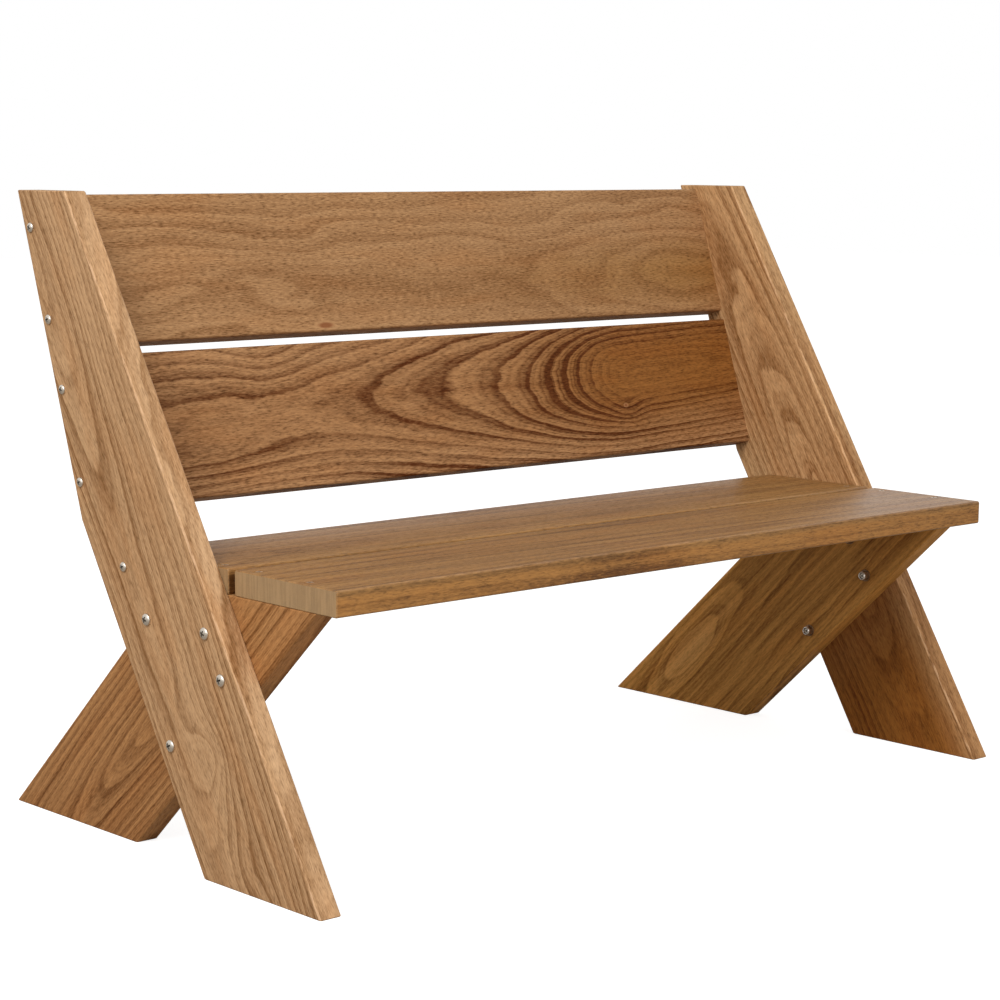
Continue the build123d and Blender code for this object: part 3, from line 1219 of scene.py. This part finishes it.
    def _countersunk(self) -> bpy.types.Mesh:
        """A countersunk screw with a cross recess, its flat head level with z = 0.

        Returns:
            The mesh.
        """
        screw = self.seat_screw
        cone = screw.head_radius - screw.radius
        rings: list[Ring] = [[(0.0, 0.0)], self._round(screw.head_radius * self.land_share, 0.0)]
        rings.append(self._round(screw.head_radius, -self.eased))
        shank = self._shank(screw, screw.length - cone)
        rings += [[(radius, height - cone) for radius, height in ring] for ring in shank]
        return self._recessed(turned(rings), screw.head_radius * self.flat_share, 0.0, "countersunk")

    def _recessed(self, skin: bmesh.types.BMesh, head_radius: float, top: float, name: str) -> bpy.types.Mesh:
        """Sinks a driver's cross in the top of a head.

        Args:
            skin: the fastener.
            head_radius: radius of its head, or the lesser one that a flat head's cross is sized by.
            top: height of the head's top.
            name: name of the mesh.

        Returns:
            The mesh with the recess.
        """
        span, slot = head_radius * self.arm_span, head_radius * self.arm_width
        star = [(slot, slot), (slot, span), (-slot, span), (-slot, slot), (-span, slot), (-span, -slot)]
        star += [(-x, -y) for x, y in star]
        cutter = bmesh.new()
        upper, lower = (
            [cutter.verts.new((x * scale, y * scale, top + head_radius * height)) for x, y in star]
            for scale, height in self.arm_taper
        )
        cutter.faces.new(upper)
        cutter.faces.new(lower[::-1])
        for index in range(len(star)):
            after = (index + 1) % len(star)
            cutter.faces.new([upper[index], lower[index], lower[after], upper[after]])
        bmesh.ops.recalc_face_normals(cutter, faces=cutter.faces)
        # Painted shade: the recess walls take the dark second slot
        for face in cutter.faces:
            face.material_index = 1
        body, tool = add_object("body", as_mesh(skin, "body")), add_object("tool", as_mesh(cutter, "tool"))
        for item in (body, body, tool, tool):
            item.data.materials.append(None)
        cut = body.modifiers.new("recess", "BOOLEAN")
        cut.object, cut.operation, cut.solver = tool, "DIFFERENCE", "EXACT"
        shape = bmesh.new()
        shape.from_object(body, bpy.context.evaluated_depsgraph_get())
        for item in (body, tool):
            bpy.data.objects.remove(item)
        return as_mesh(shape, name)

    def _washer(self) -> bpy.types.Mesh:
        """A flat washer with eased rims that lies on z = 0.

        Returns:
            The mesh.
        """
        outer, inner, high, ease = self.washer_radius, self.hole_radius, self.washer_thickness, self.eased
        profile = [(outer - ease, 0.0), (outer, ease), (outer, high - ease), (outer - ease, high)]
        profile += [(inner + ease, high), (inner, high - ease), (inner, ease), (inner + ease, 0.0)]
        return as_mesh(turned([self._round(r, z) for r, z in profile], closed=True), "washer")

    def _hexagon(self, height: float, bevel: float) -> Ring:
        """The nut's hexagonal ring, which its bevel lowers or lifts at the corners.

        Args:
            height: height that the bevel starts from.
            bevel: how much it climbs outwards, below 0 where it falls.

        Returns:
            The ring.
        """
        ring = []
        for index in range(self.nut_sides):
            angle = (2 * pi * index / self.nut_sides) % (pi / 3) - pi / 6
            reach = self.nut_apothem / cos(angle)
            ring.append((reach, height + bevel * (reach - self.nut_apothem * self.bevel_share)))
        return ring

    def _nut(self) -> bpy.types.Mesh:
        """A lock nut on z = 0: a hexagon with bevelled corners, and a rolled collar round a plastic ring.

        Returns:
            The mesh.
        """
        high, top = self.hexagon_height, self.nut_height
        land, collar, hole = self.nut_apothem * self.face_share, self.collar_radius, self.hole_radius
        profile = [(land, high), (collar, high)]
        profile += [(collar - inset, top - drop) for inset, drop in self.collar_roll]
        profile += [(hole + out, top - drop) for out, drop in self.ring_rim]
        rings = [[pair] * self.nut_sides for pair in ((hole, 0.0), (land, 0.0))]
        rings += [self._hexagon(0.0, self.nut_bevel), self._hexagon(high, -self.nut_bevel)]
        shape = turned(rings + [[pair] * self.nut_sides for pair in profile], closed=True)
        for face in shape.faces:
            middle = face.calc_center_median()
            in_ring = hypot(middle.x, middle.y) < self.ring_radius and middle.z > top - self.ring_drop
            if middle.z > high + self.slack:
                face.material_index = 1 if in_ring else 2
        return as_mesh(shape, "lock_nut")

    def _place(
        self, node: str, mesh: bpy.types.Mesh, out: Point, top: float, materials: list[bpy.types.Material]
    ) -> None:
        """Puts copies of a fastener where a node's solids are, in the node's place.

        Args:
            node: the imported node.
            mesh: one fastener, with its axis along Z.
            out: the direction in which the fastener's top faces.
            top: how high the fastener reaches over its z = 0.
            materials: its materials, in the order of their slots.
        """
        axis = Vector(out)
        upright = Vector((0, 0, 1)).rotation_difference(axis).to_matrix().to_4x4()
        group = bmesh.new()
        for index, (low, high) in enumerate(solid_boxes(node)):
            half = Vector(map(abs, axis)).dot(high - low) / 2
            foot = Matrix.Translation((low + high) / 2 + axis * (half - top))
            turn = Matrix.Rotation(self.first_turn + self.turn_step * index, 4, "Z")
            before = len(group.verts)
            group.from_mesh(mesh)
            group.verts.ensure_lookup_table()
            bmesh.ops.transform(group, matrix=foot @ upright @ turn, verts=group.verts[before:])
        joined = bpy.data.meshes.new(f"{node}_turned")
        group.to_mesh(joined)
        group.free()
        for material in materials:
            joined.materials.append(material)
        piece = add_object(f"{node}_turned", joined)
        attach(piece, "root")
        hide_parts(node)
        LOG.info("placed %s", piece.name)


@dataclass
class Studio:
    """The pale floor, the soft light and the camera.

    Attributes:
        eye: place of the camera.
        yaw: degrees that it looks to the right of straight ahead.
        pitch: degrees that it looks up.
        roll: degrees that it is tipped.
        focal: focal length in picture widths.
        rise: how far the frame is shifted up, in picture widths.
        floor_size: length of the floor's sides.
        paint: tone of the floor as the camera sees it.
        glow: light that the floor adds for the camera, so that it shows white.
        bounce: tone of the floor as the bench sees it.
        daylight: strength of the even light from all round.
        aim: what the lamps face.
    """

    eye: Point = (-2.275, -2.505, 0.845)
    yaw: float = 41.94
    pitch: float = -9.883
    roll: float = 0.27
    focal: float = 2.545
    rise: float = 0.0952
    floor_size: float = 30.0
    paint: Colour = tone(205, 205, 205)
    glow: float = 0.80
    bounce: Colour = tone(178, 172, 164)
    daylight: float = 0.50
    aim: Point = (0.0, 0.0, 0.4)

    def build(self) -> None:
        """Sets up the whole studio."""
        self._camera()
        self._floor()
        self._world()
        self._lamp("key_light", place=(-3.3, -1.7, 3.3), size=2.4, power=150.0)
        self._lamp("fill_light", place=(-0.4, -4.0, 1.6), size=2.4, power=42.0)
        bpy.context.scene.view_settings.view_transform = "Standard"
        LOG.info("studio is set")

    def _camera(self) -> None:
        """Places the camera at the photograph's viewpoint."""
        yaw, pitch, roll = radians(self.yaw), radians(self.pitch), radians(self.roll)
        forward = Vector((sin(yaw) * cos(pitch), cos(yaw) * cos(pitch), sin(pitch)))
        level = Vector((cos(yaw), -sin(yaw), 0.0))
        upward = level.cross(forward)
        right = level * cos(roll) + upward * sin(roll)
        top = upward * cos(roll) - level * sin(roll)
        lens = bpy.data.cameras.new("camera")
        lens.lens = self.focal * lens.sensor_width
        lens.shift_y = self.rise
        camera = add_object("camera", lens)
        turn = Matrix((right, top, -forward)).transposed().to_4x4()
        camera.matrix_world = Matrix.Translation(self.eye) @ turn
        bpy.context.scene.camera = camera

    def _floor(self) -> None:
        """Lays a pale floor that keeps the bench's shadow."""
        mesh = bpy.data.meshes.new("floor")
        reach = self.floor_size / 2
        corners = [(-reach, -reach, 0.0), (reach, -reach, 0.0), (reach, reach, 0.0), (-reach, reach, 0.0)]
        mesh.from_pydata(corners, [], [(0, 1, 2, 3)])
        floor = add_object("floor", mesh)
        graph = new_graph("pale_floor")
        paint = graph.node("ShaderNodeBsdfDiffuse", None, {"Color": self.paint})
        bounce = graph.node("ShaderNodeBsdfDiffuse", None, {"Color": self.bounce})
        glow = graph.node("ShaderNodeEmission", None, {"Color": (1.0, 1.0, 1.0), "Strength": self.glow})
        lit = graph.node("ShaderNodeAddShader", None, {0: paint, 1: glow})
        seen = graph.node("ShaderNodeLightPath", output="Is Camera Ray")
        shader = graph.node("ShaderNodeMixShader", None, {0: seen, 1: bounce, 2: lit})
        mesh.materials.append(graph.shade(shader))

    def _world(self) -> None:
        """Lights the scene evenly, and shows plain white to the camera and in reflections."""
        graph = Graph(bpy.data.worlds.new("studio_white"))
        kinds = ("Camera", "Glossy", "Transmission")
        camera, glossy, clear = (graph.node("ShaderNodeLightPath", output=f"Is {kind} Ray") for kind in kinds)
        sockets = {"Value": camera.most(glossy).most(clear), "To Min": self.daylight, "To Max": 1.0}
        strength = graph.node("ShaderNodeMapRange", None, sockets)
        sky = graph.node("ShaderNodeBackground", None, {"Color": (1.0, 1.0, 1.0), "Strength": strength})
        bpy.context.scene.world = graph.shade(sky)

    def _lamp(self, name: str, place: Point, size: float, power: float) -> None:
        """Hangs a soft square lamp that faces the middle of the bench.

        Args:
            name: name of the lamp.
            place: where it hangs.
            size: length of its sides.
            power: its power in watts.
        """
        light = bpy.data.lights.new(name, "AREA")
        light.size = size
        light.energy = power
        lamp = add_object(name, light)
        facing = (Vector(self.aim) - Vector(place)).to_track_quat("-Z", "Y")
        lamp.matrix_world = Matrix.Translation(place) @ facing.to_matrix().to_4x4()


def main() -> None:
    """Builds the studio and dresses the bench, one sub-assembly after another."""
    logging.basicConfig(level=logging.INFO, format="%(name)s: %(message)s")
    Studio().build()
    rail_tones = {"pale": tone(194, 154, 113), "dark": tone(122, 80, 40)}
    SideFrame(
        side=Side.LEFT,
        # Its front edge is lightened, partly as its own tone and partly as painted light
        rail_wood=OiledHardwood(**rail_tones, strokes=0.75, wear_and_highlight=0.7, edge=(1.10, 1.14, 1.20)),
        leg_wood=OiledHardwood(
            pale=tone(178, 128, 80), dark=tone(97, 54, 18), streaks=1.3, strokes=0.6, wear_and_highlight=0.5
        ),
        rail_figure=Figure(
            eye=(1.10, 0.098),
            ring=0.0098,
            reach=0.075,
            stretch=(8.0, 8.0),
            point=2.5,
            tilt=0.04,
            drift=1.3,
            strength=0.8,
            phase=0.45,
            seed=3.1,
            swirls=(Swirl(0.235, 0.095, 0.04, 0.035, -2.0), Swirl(0.10, 0.10, 0.05, 0.03, 1.2)),
        ),
        leg_figure=Figure(
            eye=(0.45, 0.10), ring=0.0092, reach=0.06, stretch=(5.8, 5.8), point=2.2, strength=0.8, seed=11.7
        ),
    ).dress()
    SideFrame(
        side=Side.RIGHT,
        # The right rail's foot gets painted shade, where the seat and leg shade it
        rail_wood=OiledHardwood(
            pale=tone(200, 157, 111), dark=tone(122, 76, 34), strokes=0.8, wear_and_highlight=0.7, foot=0.9
        ),
        leg_wood=OiledHardwood(
            pale=tone(205, 146, 76),
            dark=tone(100, 58, 12),
            heart=tone(208, 152, 86),
            streaks=2.0,
            strokes=0.5,
            wear_and_highlight=0.9,
        ),
        rail_figure=Figure(
            eye=(0.42, 0.068),
            ring=0.0115,
            reach=0.065,
            stretch=(4.0, 4.0),
            point=3.0,
            strength=0.75,
            seed=23.9,
        ),
        leg_figure=Figure(
            eye=(0.185, 0.046),
            ring=0.019,
            reach=0.045,
            stretch=(2.4, 2.6),
            tilt=0.06,
            strength=0.55,
            core=0.016,
            flush=0.035,
            seed=31.3,
        ),
    ).dress()
    seat_finish = {
        "pale": tone(156, 114, 65),
        "dark": tone(84, 51, 21),
        "streaks": 2.8,
        "strokes": 0.9,
        "gloss": 0.40,
        "sheen": 0.28,
    }
    Seat(
        woods={
            # The front board's edge is lightened, partly as its own tone and partly as painted light; the
            # rear board's edge, in the gap, is darkened as painted shade
            "front_seat_board": OiledHardwood(**seat_finish, wear_and_highlight=0.4, edge=(1.12, 1.03, 0.90)),
            "rear_seat_board": OiledHardwood(**seat_finish, wear_and_highlight=0.0, edge=(0.45, 0.37, 0.30)),
        },
        figures={
            "front_seat_board": Figure(eye=(1.2, 0.10), ring=0.013, reach=0.10, strength=0.5, seed=43.3),
            "rear_seat_board": Figure(eye=(-1.1, 0.06), ring=0.013, reach=0.10, strength=0.5, seed=57.1),
        },
    ).dress()
    Back(
        woods={
            "lower_back_board": OiledHardwood(
                pale=tone(178, 134, 92),
                dark=tone(86, 42, 9),
                heart=tone(145, 94, 45),
                streaks=0.9,
                wear_and_highlight=0.3,
            ),
            # Its heart tone is painted shade, darker towards the right end where the right rail shades it
            "top_back_board": OiledHardwood(
                pale=tone(174, 133, 92),
                dark=tone(110, 67, 31),
                heart=tone(154, 111, 63),
                strokes=1.15,
                wear_and_highlight=0.5,
            ),
        },
        figures={
            "lower_back_board": Figure(
                eye=(0.37, 0.12),
                ring=0.009,
                reach=0.11,
                stretch=(1.4, 5.0),
                point=2.6,
                tilt=-0.05,
                drift=0.3,
                uneven=0.3,
                strength=1.5,
                bold=(0.18, 0.30),
                core=0.045,
                flush=0.15,
                phase=0.4,
                seed=1.5,
                swirls=(
                    Swirl(-0.30, 0.20, 0.065, 0.06, 1.75),
                    Swirl(-0.35, 0.0, 0.28, 0.07, 3.0),
                    Swirl(-0.42, 0.04, 0.16, 0.04, -1.8),
                    Swirl(0.02, 0.22, 0.10, 0.065, -1.25),
                    Swirl(-0.07, 0.12, 0.08, 0.05, -0.45),
                    Swirl(0.33, 0.065, 0.03, 0.02, -1.2),
                ),
                knots=(Knot(0.327, 0.07, 0.0035, 0.0025),),
            ),
            # The eye beyond the right end and the flush lay that painted shade
            "top_back_board": Figure(
                eye=(0.62, 0.06),
                ring=0.024,
                reach=0.08,
                stretch=(5.0, 8.0),
                drift=2.0,
                strength=0.45,
                flush=0.078,
                seed=71.9,
                knots=(Knot(-0.190, 0.0075, 0.015, 0.005),),
            ),
        },
    ).dress()
    Fasteners(
        steel=StainlessSteel(),
        # Brighter steel as a painted highlight on the collars
        highlit_collar_steel=StainlessSteel(tone(236, 230, 222), 0.36),
        # Brown steel as a painted reflection of the wood
        wood_reflection_steel=StainlessSteel(tone(150, 122, 94), 0.42),
        plastic=DullCoat(tone(196, 190, 180), tone(216, 211, 202)),
        # A dark coat as painted shade in the recesses and bolt-end dimples
        recess_shade=DullCoat(tone(74, 66, 57), tone(112, 102, 89)),
    ).build()


if __name__ == "__main__":
    main()
